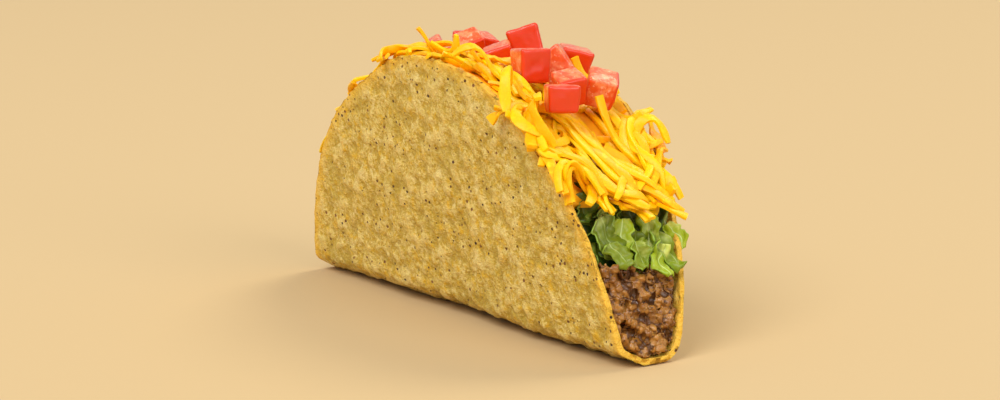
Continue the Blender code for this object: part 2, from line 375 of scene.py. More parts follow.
def make_core(name, cuts, shape):
    """A cube cut into a grid along X, Y and Z, with every corner (-1 to 1 on each axis) moved by shape."""
    bpy.ops.object.select_all(action="DESELECT")
    bpy.ops.mesh.primitive_cube_add(size=2.0)
    core = bpy.context.object
    core.name = core.data.name = name
    work = bmesh.new()
    work.from_mesh(core.data)
    for axis, count in enumerate(cuts):
        edges = [e for e in work.edges if abs((e.verts[0].co - e.verts[1].co)[axis]) > 1e-6]
        bmesh.ops.subdivide_edges(work, edges=edges, cuts=count, use_grid_fill=True)
    work.to_mesh(core.data)
    work.free()
    move_vertices(core, shape(*vertex_places(core).T))
    core.data.shade_smooth()
    return core


def beef_core_shape(u, across, level):
    share = (level + 1) / 2
    top = layer_top(BEEF_TOP_END, BEEF_TOP_MIDDLE, u)
    near_arc = FLAT_EDGE_NEAR + share * (top - FLAT_EDGE_NEAR)
    far_arc = FLAT_EDGE_FAR + share * (top - FLAT_EDGE_FAR)
    length = reach(np.maximum(near_arc, far_arc)) - BEEF_CORE_RECESS
    return between_walls(u * length, near_arc, far_arc, across)


def add_lump(work, place, radius, draw, roughness):
    """Adds one uneven lump to the bmesh: a small icosphere, squashed, turned and dented."""
    added = bmesh.ops.create_icosphere(work, subdivisions=2, radius=1.0)["verts"]
    stretch = Vector(draw.uniform(0.72, 1.28, 3))
    turn = Matrix.Rotation(draw.uniform(0, 6.28), 3, Vector(draw.normal(size=3)).normalized())
    seed = Vector(draw.uniform(-50, 50, 3))
    for vert in added:
        dent = 1 + roughness * noise.noise(vert.co * 1.7 + seed)
        vert.co = Vector(place) + turn @ Vector([c * s * radius * dent for c, s in zip(vert.co, stretch)])


def browned_beef():
    """Moist browned mince: mid brown with greyer lean and darker browned bits, painted highlight specks and
    painted shade in the crevices between crumbs, shiny with fat and juice.
    """
    material, tree, shader = start_material(
        "browned_beef", Roughness=0.42, Subsurface_Weight=0.10, Subsurface_Scale=0.001,
        Coat_Weight=0.26, Coat_Roughness=0.16,
    )
    where = add_node(tree, "TexCoord").outputs["Object"]
    lumps = noise_on(tree, where, 260, 2)
    fine = noise_on(tree, where, 900, 3, 0.6)
    patches = step_between(tree, lumps, 0.38, 0.62)
    colour = mix_colours(tree, patches, (0.27, 0.100, 0.011, 1), (0.46, 0.200, 0.030, 1))
    colour = mix_colours(tree, step_between(tree, fine, 0.46, 0.28), colour, (0.080, 0.026, 0.008, 1))
    # Painted highlight: pale orange-brown specks where the fine noise is high.
    colour = mix_colours(tree, step_between(tree, fine, 0.58, 0.76), colour, (0.58, 0.30, 0.065, 1))
    crest = read_attribute(tree, "crest")
    # Painted shade: the crevices between crumbs, where the surface was pushed in, are darkened.
    colour = mix_colours(tree, step_between(tree, crest, 0.28, -0.02), colour, (0.130, 0.042, 0.006, 1))
    finish_material(tree, shader, colour, fine, 0.5, 0.0004)
    return material


def make_beef_crumbs():
    """Lumps of mince over both end faces, joined under one skin and roughened."""
    draw = np.random.default_rng(11)
    work = bmesh.new()
    for end in (-1, 1):
        for _ in range(CRUMBS_PER_END):
            share, across = draw.uniform(0.0, 1.0), draw.uniform(-1.0, 1.0)
            near_arc = FLAT_EDGE_NEAR + share * (BEEF_TOP_END + CRUMB_SPILL - FLAT_EDGE_NEAR)
            far_arc = FLAT_EDGE_FAR + share * (BEEF_TOP_END + CRUMB_SPILL - FLAT_EDGE_FAR)
            radius = draw.uniform(0.7, 1.4) * MM if draw.random() < 0.75 else draw.uniform(1.4, 2.2) * MM
            deep = draw.uniform(0.0, 2.6) * MM
            along = end * (reach(max(near_arc, far_arc)) - BEEF_FACE_RECESS - radius * 0.6 - deep)
            place = between_walls(along, near_arc, far_arc, across)
            place[2] = max(place[2], 1.8 * MM + radius)
            middle = between_walls(along, near_arc, far_arc, 0.0)
            place[1] += (middle[1] - place[1]) * min(1.0, radius * 0.55 / (abs(place[1] - middle[1]) + 1e-6))
            add_lump(work, place, radius, draw, 0.55)
        for _ in range(BACKING_LUMPS_PER_END):
            share, across = draw.uniform(0.0, 1.0), draw.uniform(-0.85, 0.85)
            near_arc = FLAT_EDGE_NEAR + share * (BEEF_TOP_END - FLAT_EDGE_NEAR)
            far_arc = FLAT_EDGE_FAR + share * (BEEF_TOP_END - FLAT_EDGE_FAR)
            along = end * (reach(max(near_arc, far_arc)) - BEEF_FACE_RECESS - BACKING_DEPTH)
            place = between_walls(along, near_arc, far_arc, across)
            place[2] = max(place[2], 4.2 * MM)
            add_lump(work, place, BACKING_RADIUS, draw, 0.2)
    crumbs = piece_from(work, "beef_crumbs")
    apply_modifier(crumbs, "REMESH", mode="VOXEL", voxel_size=0.26 * MM, use_smooth_shade=True)
    before, normals = vertex_places(crumbs), vertex_normals(crumbs)
    grains = bpy.data.textures.new("mince_grains", "VORONOI")
    grains.noise_scale = 2.7 * MM
    apply_modifier(
        crumbs, "DISPLACE", texture=grains, texture_coords="LOCAL", strength=-2.8 * MM, mid_level=0.35
    )
    roughen(crumbs, "mince", 1.1 * MM, 2, 0.95 * MM)
    store_crest(crumbs, before, normals, -0.9 * MM, 0.6 * MM)
    return crumbs


beef_finish = browned_beef()
beef_core = make_core("beef_core", (13, 5, 5), beef_core_shape)
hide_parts("beef")
beef_crumbs = make_beef_crumbs()
for piece in (beef_core, beef_crumbs):
    give_finish(piece, beef_finish)
    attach(piece, "root")


# The lettuce: leaves cut across into shreds, laid on the beef. Torn, crinkled ends of leaf hang out at both
# ends; behind them a plain core fills the taco.
LETTUCE_TOP_END, LETTUCE_TOP_MIDDLE = 40.0 * MM, 53.0 * MM
LETTUCE_CORE_RECESS = 5.0 * MM
LEAF_THICKNESS = 0.34 * MM
LEAF_ROWS, LEAF_COLUMNS = 22, 14
BACK_LEAVES_PER_END = 26
BACK_LEAF_RANGES = (
    (-0.8, 0.85), (33, 50), (-4.5, -2.0), (-0.4, 0.4), (-0.8, 0.8),
    (5.0, 9.0), (6.0, 10.0), (0.2, 1.0), (1.2, 2.2), (0.0, 0.25),
)
FARTHEST_ACROSS = 0.92


def lettuce_core_shape(u, across, level):
    share = (level + 1) / 2
    low = layer_top(BEEF_TOP_END, BEEF_TOP_MIDDLE, u)
    arc = low + share * (layer_top(LETTUCE_TOP_END, LETTUCE_TOP_MIDDLE, u) - low)
    return between_walls(u * (reach(arc) - LETTUCE_CORE_RECESS), arc, arc, across)


def make_leaf(work, root, down, out, width, length, curl, crinkle, tint, draw):
    """One torn strip of leaf, hung from root along down, bulging towards out and crinkled towards its edges.

    The finish reads rib, 0 on the midrib and 1 at the edges, and tint, 0 for dark leaf and 1 for pale."""
    down, out = Vector(down).normalized(), Vector(out).normalized()
    side = down.cross(out).normalized()
    seed = Vector(draw.uniform(-40, 40, 3))
    rib_layer = work.verts.layers.float.get("rib") or work.verts.layers.float.new("rib")
    tint_layer = work.verts.layers.float.get("tint") or work.verts.layers.float.new("tint")
    rows = []
    for i in range(LEAF_ROWS + 1):
        t = i / LEAF_ROWS
        bend = curl * t
        spine = Vector(root) + down * (length * math.sin(bend) / max(curl, 1e-3)) + out * (
            length * (1 - math.cos(bend)) / max(curl, 1e-3)
        )
        spine += side * (2.2 * MM * noise.noise(seed + Vector((t * 2.0, 0, 0))))
        facing = (out * math.cos(bend) - down * math.sin(bend)).normalized()
        row = []
        for j in range(LEAF_COLUMNS + 1):
            s = 2 * j / LEAF_COLUMNS - 1
            edge = 1 + 0.45 * noise.noise(seed + Vector((t * 6.5, 7.0 * math.copysign(1, s), 3.0)))
            taper = min(1.0, 0.55 + 3.0 * t) * (1 - 0.55 * max(0.0, t - 0.75) / 0.25)
            wave = noise.noise(seed + Vector((s * 0.9, t * length / (5.2 * MM), 9.0)))
            fine = noise.noise(seed + Vector((s * 2.4, t * length / (1.7 * MM), 21.0)))
            wave = 2.6 * abs(wave) + 0.8 * wave
            place = spine + side * (s * width / 2 * edge * taper)
            place += facing * (crinkle * (0.25 + 0.75 * abs(s)) * (wave + 0.35 * fine) - 0.16 * width * s * s)
            vert = work.verts.new(place)
            vert[rib_layer] = abs(s)
            vert[tint_layer] = tint
            row.append(vert)
        rows.append(row)
    for upper, lower in zip(rows, rows[1:]):
        for j in range(LEAF_COLUMNS):
            work.faces.new((upper[j], upper[j + 1], lower[j + 1], lower[j]))


def crisp_leaf():
    """Crisp leaf: deep to bright green, paler along the rib of pale leaves, with light coming through."""
    material, tree, shader = start_material(
        "crisp_leaf", Roughness=0.42, Specular_IOR_Level=0.35, Subsurface_Weight=0.12,
        Subsurface_Scale=0.0012, Subsurface_Radius=(0.6, 1.0, 0.2), Coat_Weight=0.12, Coat_Roughness=0.2,
    )
    where = add_node(tree, "TexCoord").outputs["Object"]
    rib = read_attribute(tree, "rib")
    tint = read_attribute(tree, "tint")
    colour = mix_colours(tree, tint, (0.012, 0.036, 0.001, 1), (0.40, 0.50, 0.012, 1))
    patch = noise_on(tree, where, 200, 3)
    lighter = mix_colours(tree, tint, (0.070, 0.13, 0.004, 1), (0.76, 0.82, 0.18, 1))
    colour = mix_colours(tree, step_between(tree, patch, 0.52, 0.66), colour, lighter)
    streak = combine(tree, "MULTIPLY", step_between(tree, rib, 0.10, 0.0), tint)
    colour = mix_colours(tree, streak, colour, (0.62, 0.76, 0.30, 1))
    edge = combine(tree, "MULTIPLY", step_between(tree, rib, 0.88, 1.0), 0.6)
    colour = mix_colours(tree, edge, colour, (0.36, 0.56, 0.08, 1))
    fine = noise_on(tree, where, 700, 3)
    finish_material(tree, shader, colour, fine, 0.3, 0.0004)
    return material


# Leaf ends that show, for the end towards +X: place across, then arc distance and how far out the root is, in
# millimetres, then how the leaf leans and faces across, and its width, length, curl, crinkle and tint.
LEAF_ENDS = (
    (-0.82, 45, -1.6, 0.30, -0.2, 9.0, 17.0, 0.25, 1.6, 0.18),
    (-0.60, 40, 0.2, 0.50, 0.1, 7.0, 11.5, 0.40, 1.8, 0.32),
    (-0.22, 44, -1.8, 0.10, 0.6, 6.5, 12.0, 0.80, 2.0, 0.55),
    (-0.05, 40, 0.8, -0.15, -0.7, 5.5, 10.0, 0.80, 2.0, 0.75),
    (0.18, 38, -0.4, -0.25, 0.3, 6.5, 10.5, 0.30, 1.8, 0.30),
    (0.36, 42, 0.8, 0.15, -0.8, 5.5, 12.5, 0.60, 2.2, 0.65),
    (0.50, 38, 1.2, 0.25, 0.5, 5.0, 11.5, 0.80, 1.8, 0.50),
    (0.55, 35, 1.4, -0.20, 0.0, 4.5, 9.0, 1.00, 1.5, 0.80),
    (0.74, 55, -1.0, 0.10, -0.5, 7.5, 17.0, 0.25, 1.7, 1.00),
    (0.86, 47, 0.0, 0.15, -0.4, 5.5, 12.5, 0.40, 1.4, 0.92),
    (0.90, 40, 0.6, 0.60, -0.3, 4.0, 7.5, 0.40, 1.2, 0.95),
    (0.60, 50, 0.8, -0.20, 0.2, 5.0, 9.0, 0.50, 1.6, 0.85),
    (-0.45, 35, 0.8, 0.20, 0.0, 5.0, 7.0, 0.80, 1.5, 0.45),
    (0.05, 35, 0.8, 0.10, 0.4, 5.5, 7.0, 0.70, 1.7, 0.50),
)


def make_lettuce_leaves():
    """Leaf ends hung over the beef at both ends, with darker ones packed behind them."""
    draw = np.random.default_rng(23)
    work = bmesh.new()
    for end in (-1, 1):
        leaves = [
            [draw.uniform(least, most) for least, most in BACK_LEAF_RANGES]
            for _ in range(BACK_LEAVES_PER_END)
        ]
        for across, arc, out_by, lean, facing, width, length, curl, crinkle, tint in leaves + list(LEAF_ENDS):
            if end < 0:
                across = max(across + draw.uniform(-0.1, 0.1), -0.45)
            if across < -0.5:
                lean = abs(lean)
            arc = (arc + draw.uniform(-0.5, 0.5)) * MM
            along = end * (float(reach(arc)) + out_by * MM - 1.2 * MM)
            root = between_walls(along, arc, arc, min(max(across, -FARTHEST_ACROSS), FARTHEST_ACROSS))
            make_leaf(
                work, root, (end * 0.22, lean, -1.0), (end * 1.0, facing, 0.15), width * MM, length * MM,
                curl, crinkle * MM, tint, draw,
            )
    leaves = piece_from(work, "lettuce_leaves")
    apply_modifier(leaves, "SOLIDIFY", thickness=LEAF_THICKNESS, offset=0.0)
    leaves.data.shade_smooth()
    return leaves


leaf_finish = crisp_leaf()
lettuce_core = make_core("lettuce_core", (13, 5, 3), lettuce_core_shape)
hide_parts("lettuce")
lettuce_leaves = make_lettuce_leaves()
for piece in (lettuce_core, lettuce_leaves):
    give_finish(piece, leaf_finish)
    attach(piece, "root")


# The tomato: a firm red tomato cut into dice. Each has one outer face with its smooth skin, and cut faces
# of paler, fibrous, wet flesh.
DICE = [name for name in sorted(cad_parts) if name.startswith("tomato_")]
SKIN_FACES = {"tomato_05": (-0.5, 0.8, 0.3), "tomato_02": (0.9, -0.2, -0.4), "tomato_03": (0.7, 0.3, -0.6)}
USUAL_SKIN_FACE = (0.84, -0.5, -0.1)


def face_directions(mesh):
    """The three directions square to the die's faces, from its largest faces."""
    faces = sorted(mesh.polygons, key=lambda face: -face.area)
    first = faces[0].normal.copy()
    second = next(face.normal.copy() for face in faces if abs(face.normal.dot(first)) < 0.3)
    return first, second, first.cross(second).normalized()


def make_tomato_die(name):
    """A die with eased edges and a slightly sunken, uneven cut surface. skin is 1 on its outer face."""
    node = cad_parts[name]
    die = new_piece(name.replace("tomato_", "tomato_die_"), node.data.copy())
    directions = face_directions(die.data)
    select_only(die)
    bpy.ops.object.mode_set(mode="EDIT")
    bpy.ops.mesh.select_all(action="SELECT")
    bpy.ops.mesh.remove_doubles(threshold=0.01 * MM)
    bpy.ops.object.mode_set(mode="OBJECT")
    apply_modifier(die, "REMESH", mode="VOXEL", voxel_size=0.27 * MM, use_smooth_shade=True)
    apply_modifier(die, "SMOOTH", factor=0.5, iterations=1)
    roughen(die, "cut_flesh", 3.4 * MM, 1, 0.4 * MM)
    wanted = Vector(SKIN_FACES.get(name, USUAL_SKIN_FACE))
    outward = max((d * s for d in directions for s in (-1, 1)), key=lambda d: d.dot(wanted))
    places = vertex_places(die)
    reach_out = places @ np.array(outward)
    skin = np.clip((reach_out - reach_out.max() + 1.3 * MM) / (0.5 * MM), 0, 1)
    layer = die.data.attributes.new("skin", "FLOAT", "POINT")
    layer.data.foreach_set("value", skin)
    die.data.shade_smooth()
    return die


def cut_tomato():
    """Red skin and paler red flesh with pink fibres, wet all over, with light going well into it."""
    material, tree, shader = start_material(
        "cut_tomato", Roughness=0.33, Subsurface_Weight=0.30, Subsurface_Scale=0.0022,
        Subsurface_Radius=(1.0, 0.22, 0.12), Coat_Weight=0.15, Coat_Roughness=0.06,
    )
    where = add_node(tree, "TexCoord").outputs["Object"]
    skin = read_attribute(tree, "skin")
    cells = noise_on(tree, where, 420, 3, 0.6)
    fibre = noise_on(tree, where, 1300, 2)
    pale = step_between(tree, cells, 0.42, 0.66)
    flesh = mix_colours(tree, pale, (0.78, 0.095, 0.014, 1), (0.86, 0.27, 0.10, 1))
    flesh = mix_colours(tree, step_between(tree, fibre, 0.56, 0.74), flesh, (0.92, 0.44, 0.28, 1))
    colour = mix_colours(tree, skin, flesh, (0.71, 0.040, 0.001, 1))
    cut_face = combine(tree, "SUBTRACT", skin, 1.0)
    wet = combine(tree, "MULTIPLY", cells, cut_face)
    finish_material(tree, shader, colour, wet, 0.35, 0.0005)
    return material


tomato_finish = cut_tomato()
for name in DICE:
    die = make_tomato_die(name)
    give_finish(die, tomato_finish)
    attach(die, "root")
    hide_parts(name)


# The cheese: a mild orange-yellow cheese, cut by a coarse grater into soft curling shreds and dropped on
# by hand. A heap of them fills the top between the rims. They lie over each other and hang at the end.
CHEESE_END_NEAR, CHEESE_END_FAR = math.radians(37), math.radians(143)
CHEESE_CORE_TOP = 3.4 * MM
CHEESE_CORE_DEPTH = 19.0 * MM
SHRED_WIDTH, SHRED_THICKNESS, SHRED_SIDES, TAPERED = 2.35 * MM, 0.98 * MM, 8, 0.12
LINK = 1.5 * MM
LONGEST_SHRED = 30
SHREDS_DROPPED = 640
SHRED_REACH = 0.74 * MM
CELL = 1.5 * MM
FARTHEST_SOLID = 9 * MM

# Settling: how the shreds fall and slow down, how they keep apart, and how stiffly they keep their curl.
SETTLING_STEPS, QUICK_SETTLING_STEPS = 210, 60
FALL_PER_STEP, FARTHEST_PER_STEP, SPEED_KEPT = 0.035 * MM, 0.45 * MM, 0.86
PAIR_REACH, PAIR_SPACING, PAIR_STIFFNESS = 2.6 * MM, 1.75 * SHRED_REACH, 0.35
BEND_STIFFNESS, CURL_STIFFNESS, GRIP = 0.5, 0.25, 0.35


def cheese_core_shape(u, across, level):
    angle = CHEESE_END_NEAR + (CHEESE_END_FAR - CHEESE_END_NEAR) * (1 - u) / 2
    top = TORTILLA_RADIUS + 2.8 * MM - 2.4 * MM * (1 - across * across) - CHEESE_CORE_TOP
    share = (level + 1) / 2
    radius = TORTILLA_RADIUS - CHEESE_CORE_DEPTH + share * (top - TORTILLA_RADIUS + CHEESE_CORE_DEPTH)
    return between_walls(radius * np.cos(angle), radius * np.sin(angle), radius * np.sin(angle), across)


def solid_tree(pieces):
    """A search tree over the faces of closed pieces that don't overlap."""
    work = bmesh.new()
    for piece in pieces:
        work.from_mesh(piece.data)
    bmesh.ops.remove_doubles(work, verts=work.verts, dist=0.005 * MM)
    tree = BVHTree.FromBMesh(work)
    work.free()
    return tree


class Clearance:
    """How far any place is from the nearest solid, read off a grid of samples round the top of the taco."""

    def __init__(self, trees, low, high):
        self.low = np.array(low)
        counts = np.ceil((np.array(high) - self.low) / CELL).astype(int) + 1
        self.grid = np.full(counts, FARTHEST_SOLID)
        for index in np.ndindex(*counts):
            place = Vector(self.low + np.array(index) * CELL)
            for tree in trees:
                found, normal, _, away = tree.find_nearest(place, FARTHEST_SOLID)
                if found is not None:
                    inside = (place - found).dot(normal) < 0
                    self.grid[index] = min(self.grid[index], -away if inside else away)
        self.slopes = np.stack(np.gradient(self.grid, CELL), axis=-1)

    def at(self, places):
        """Clearances at these places, and the directions that lead away from the solids."""
        scaled = (places - self.low) / CELL
        top = np.array(self.grid.shape) - 1.001
        scaled = np.clip(scaled, 0, top)
        whole = scaled.astype(int)
        part = scaled - whole
        away = np.zeros(places.shape[:-1])
        slope = np.zeros(places.shape)
        for corner in np.ndindex(2, 2, 2):
            weight = np.prod(np.where(corner, part, 1 - part), axis=-1)
            spot = tuple(np.moveaxis(whole + corner, -1, 0))
            away += weight * self.grid[spot]
            slope += weight[..., None] * self.slopes[spot]
        return away, slope / (np.linalg.norm(slope, axis=-1, keepdims=True) + 1e-9)


def close_pairs(places, within):
    """Index pairs of places closer than within, found by sorting them into cubes of that size."""
    cube = np.floor((places - places.min(axis=0)) / within).astype(np.int64) + 1
    size = cube.max(axis=0) + 2
    key = (cube[:, 0] * size[1] + cube[:, 1]) * size[2] + cube[:, 2]
    order = np.argsort(key, kind="stable")
    cubes, first, count = np.unique(key[order], return_index=True, return_counts=True)
    pairs = []
    for step in ((0, 0, 0), (0, 0, 1), (0, 1, -1), (0, 1, 0), (0, 1, 1), (1, -1, -1), (1, -1, 0), (1, -1, 1),
                 (1, 0, -1), (1, 0, 0), (1, 0, 1), (1, 1, -1), (1, 1, 0), (1, 1, 1)):
        other = np.searchsorted(cubes, cubes + (step[0] * size[1] + step[1]) * size[2] + step[2])
        other = np.minimum(other, len(cubes) - 1)
        hit = np.flatnonzero(cubes[other] == cubes + (step[0] * size[1] + step[1]) * size[2] + step[2])
        many = count[hit] * count[other[hit]]
        rows = np.repeat(np.arange(len(hit)), many)
        nth = np.arange(many.sum()) - np.repeat(np.cumsum(many) - many, many)
        one = order[first[hit][rows] + nth // count[other[hit]][rows]]
        two = order[first[other[hit]][rows] + nth % count[other[hit]][rows]]
        keep = one < two if step == (0, 0, 0) else np.ones(len(one), bool)
        pairs.append(np.stack([one[keep], two[keep]], axis=1))
    pairs = np.concatenate(pairs)
    gap = places[pairs[:, 0]] - places[pairs[:, 1]]
    return pairs[(gap**2).sum(axis=1) < within**2]


def keep_apart(shreds, first, second, rest, stiffness):
    """Moves two sets of links towards their rest distance, half each."""
    gap = shreds[:, second] - shreds[:, first]
    length = np.linalg.norm(gap, axis=-1, keepdims=True) + 1e-9
    push = gap * (stiffness * 0.5 * (1 - rest / length))
    shreds[:, first] += push
    shreds[:, second] -= push


def settle(shreds, counts, curls, clearance, steps):
    """Lets the shreds fall and come to rest on the solids and on each other.

    Each shred is a row of links that keep their spacing and their curl."""
    total, links = shreds.shape[:2]
    alive = np.arange(links)[None, :] < counts[:, None]
    spare = alive.reshape(-1)
    owner = np.repeat(np.arange(total), links)
    nth = np.tile(np.arange(links), total)
    before = shreds.copy()
    bend_rest = 2 * LINK * np.cos(LINK / curls / 2)[:, None, None]
    long_rest = (2 * curls * np.sin(2 * LINK / curls))[:, None, None]
    pairs = np.zeros((0, 2), int)
    for step in range(steps):
        speed = (shreds - before) * SPEED_KEPT
        before = shreds.copy()
        shreds = shreds + np.clip(speed, -FARTHEST_PER_STEP, FARTHEST_PER_STEP)
        shreds[..., 2] -= FALL_PER_STEP
        if step % 5 == 0:
            flat = shreds.reshape(-1, 3)
            live = np.flatnonzero(spare)
            pairs = live[close_pairs(flat[live], PAIR_REACH)]
            one, two = pairs.T
            near_self = (owner[one] == owner[two]) & (np.abs(nth[one] - nth[two]) < 4)
            pairs = pairs[~near_self]
        for _ in range(3):
            for start in range(4):
                first = np.arange(start, links - 4, 8)
                for shift in (0, 4):
                    some = first[first + shift < links - 4] + shift
                    keep_apart(shreds, some, some + 4, long_rest, CURL_STIFFNESS)
            for start in range(4):
                first = np.arange(start, links - 2, 4)
                keep_apart(shreds, first, first + 2, bend_rest, BEND_STIFFNESS)
            for start in range(2):
                first = np.arange(start, links - 1, 2)
                keep_apart(shreds, first, first + 1, LINK, 1.0)
            flat = shreds.reshape(-1, 3)
            gap = flat[pairs[:, 0]] - flat[pairs[:, 1]]
            apart = np.linalg.norm(gap, axis=1) + 1e-9
            push = gap * (PAIR_STIFFNESS * np.maximum(0.0, PAIR_SPACING - apart) / apart)[:, None]
            np.add.at(flat, pairs[:, 0], push)
            np.add.at(flat, pairs[:, 1], -push)
            shreds = flat.reshape(shreds.shape)
            away, out = clearance.at(shreds)
            touch = away < SHRED_REACH
            shreds = shreds + out * np.maximum(0.0, SHRED_REACH - away)[..., None]
            slide = shreds - before
            slide -= out * (slide * out).sum(axis=-1, keepdims=True)
            shreds = shreds - slide * (GRIP * touch)[..., None]
    return shreds


def spread_points(points, spacing):
    """Points a set spacing apart on a smooth line through the given ones."""
    points = np.array(points, float)
    ghosts = np.vstack([2 * points[0] - points[1], points, 2 * points[-1] - points[-2]])
    line = []
    for p0, p1, p2, p3 in zip(ghosts, ghosts[1:], ghosts[2:], ghosts[3:]):
        for t in np.linspace(0, 1, 12, endpoint=False):
            line.append(0.5 * (2 * p1 + (p2 - p0) * t + (2 * p0 - 5 * p1 + 4 * p2 - p3) * t**2
                               + (3 * p1 - p0 - 3 * p2 + p3) * t**3))
    line.append(points[-1])
    line = np.array(line)
    run = np.concatenate([[0], np.cumsum(np.linalg.norm(np.diff(line, axis=0), axis=1))])
    count = max(3, int(round(run[-1] / spacing)) + 1)
    at = np.linspace(0, run[-1], count)
    return np.stack([np.interp(at, run, line[:, axis]) for axis in range(3)], axis=1)


def drop_shreds(draw, count):
    """Starting rows of links for loose shreds, curled at random, hung in the air above the heap."""
    rows, lengths, curls = [], [], []
    while len(rows) < count:
        angle = draw.uniform(CHEESE_END_NEAR - 0.10, CHEESE_END_FAR + 0.02)
        across = draw.uniform(-1.0, 1.0)
        if angle > 1.75:
            across *= 0.8
        if 1.0 < angle < 2.1 and abs(across - 0.15) < 0.62 and draw.random() < 0.72:
            continue
        radius = TORTILLA_RADIUS + draw.uniform(2.0, 15.0) * MM
        arc = TORTILLA_RADIUS * math.sin(angle)
        middle = between_walls(radius * math.cos(angle), arc, arc, across)
        middle[2] += (radius - TORTILLA_RADIUS) * math.sin(angle)
        long = int(draw.integers(10, LONGEST_SHRED))
        curl = draw.uniform(14.0, 80.0) * MM
        heading = draw.normal(0.0, 0.75) + (math.pi if draw.random() < 0.5 else 0.0)
        forward = np.array([math.cos(heading), math.sin(heading) * 0.9, 0.0])
        tilt = draw.uniform(-0.5, 0.5)
        level = np.array([-forward[1], forward[0], 0.0])
        sideways = level * math.cos(tilt) + np.array([0, 0, math.sin(tilt)])
        turn = (np.arange(LONGEST_SHRED) - long / 2) * LINK / curl
        row = middle + curl * (np.sin(turn)[:, None] * forward + (1 - np.cos(turn))[:, None] * sideways)
        rows.append(row)
        lengths.append(long)
        curls.append(curl)
    return np.array(rows), np.array(lengths), np.array(curls)


def add_shred(work, line, clearance, draw, width):
    """One shred: a rounded flat strip swept along its line, broad side out, thinned and torn at the ends."""
    line = spread_points(line, 0.95 * MM)
    forward = np.gradient(line, axis=0)
    forward /= np.linalg.norm(forward, axis=1, keepdims=True) + 1e-9
    _, out = clearance.at(line)
    twist = draw.normal(0.0, 0.35) + np.cumsum(draw.normal(0.0, 0.03, len(line)))
    tint = draw.uniform(0, 1)
    tint_layer = work.verts.layers.float.get("tint") or work.verts.layers.float.new("tint")
    ends = draw.uniform(0.5, 1.0, 2)
    last_ring = None
    previous = None
    for i, (place, ahead, outward, turn) in enumerate(zip(line, forward, out, twist)):
        side = np.cross(ahead, outward)
        if previous is not None:
            same_way = np.sign(side @ previous + 1e-9)
            side = 0.35 * side / (np.linalg.norm(side) + 1e-9) * same_way + 0.65 * previous
        side -= ahead * (side @ ahead)
        side /= np.linalg.norm(side) + 1e-9
        previous = side
        up = np.cross(side, ahead)
        share = i / (len(line) - 1)
        start, finish = max(0.0, 1 - share / TAPERED), max(0.0, 1 - (1 - share) / TAPERED)
        taper = 1 - (1 - ends[0]) * start - (1 - ends[1]) * finish
        waver = 1 + 0.08 * math.sin(i * 0.5 + 7 * tint) + draw.normal(0, 0.02)
        verts = []
        for corner in range(SHRED_SIDES):
            angle = 2 * math.pi * (corner + 0.5) / SHRED_SIDES
            flat_x = math.copysign(abs(math.cos(angle)) ** 0.4, math.cos(angle)) * width / 2 * taper * waver
            thick = SHRED_THICKNESS / 2 * (0.5 + 0.5 * taper)
            flat_y = math.copysign(abs(math.sin(angle)) ** 0.4, math.sin(angle)) * thick
            across = flat_x * math.cos(turn) - flat_y * math.sin(turn)
            above = flat_x * math.sin(turn) + flat_y * math.cos(turn)
            vert = work.verts.new(place + side * across + up * above)
            vert[tint_layer] = tint
            verts.append(vert)
        if last_ring:
            for corner in range(SHRED_SIDES):
                after = (corner + 1) % SHRED_SIDES
                work.faces.new((last_ring[corner], last_ring[after], verts[after], verts[corner]))
        else:
            work.faces.new(verts[::-1])
        last_ring = verts
    work.faces.new(last_ring)


def soft_cheese():
    """Orange-yellow cheese: waxy, lit from within, yellower in patches, and finely grained."""
    material, tree, shader = start_material(
        "soft_cheese", Roughness=0.40, Subsurface_Weight=0.35, Subsurface_Scale=0.0016,
        Subsurface_Radius=(1.0, 0.62, 0.12), Specular_IOR_Level=0.25,
    )
    where = add_node(tree, "TexCoord").outputs["Object"]
    tint = read_attribute(tree, "tint")
    colour = mix_colours(tree, tint, (1.0, 0.44, 0.0, 1), (1.0, 0.60, 0.0, 1))
    mottle = noise_on(tree, where, 500, 3)
    colour = mix_colours(tree, step_between(tree, mottle, 0.55, 0.80), colour, (1.0, 0.68, 0.01, 1))
    fine = noise_on(tree, where, 1500, 2)
    finish_material(tree, shader, colour, fine, 0.22, 0.0003)
    return material


def make_cheese_shreds(core):
    """The loose shreds hung over the heap, with the clearances that they will settle against."""
    draw = np.random.default_rng(5)
    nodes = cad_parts
    trees = [
        solid_tree([nodes["shell"]]), solid_tree([core]), solid_tree([nodes[name] for name in DICE]),
        solid_tree([nodes["lettuce"]]),
    ]
    clearance = Clearance(trees, (-84 * MM, -33 * MM, 15 * MM), (84 * MM, 38 * MM, 92 * MM))
    rows, counts, curls = drop_shreds(draw, SHREDS_DROPPED)
    return rows, counts, curls, clearance, draw


# How far the shreds may go: up and across, sideways in the main view at some heights, and down outside the
# walls. The sideways direction is the camera's own, to two places.
LOWEST_SHRED, HIGHEST_SHRED = 29 * MM, 73.5 * MM
NEAREST_SHRED, FARTHEST_SHRED = -22.2 * MM, 28 * MM
SIDEWAYS_ALONG, SIDEWAYS_ACROSS = 0.55, 0.84
SIDEWAYS_HEIGHTS = (34 * MM, 50 * MM, 60 * MM, 66 * MM)
SIDEWAYS_LIMITS = (49 * MM, 48 * MM, 42 * MM, 33 * MM)
NEAR_HANG_PLACES = (10 * MM, 24 * MM, 36 * MM, 46 * MM)
NEAR_HANG_LIMITS = (0.6 * MM, 4.0 * MM, 4.0 * MM, 1.2 * MM)
FAR_HANG_LIMIT = 5.5 * MM


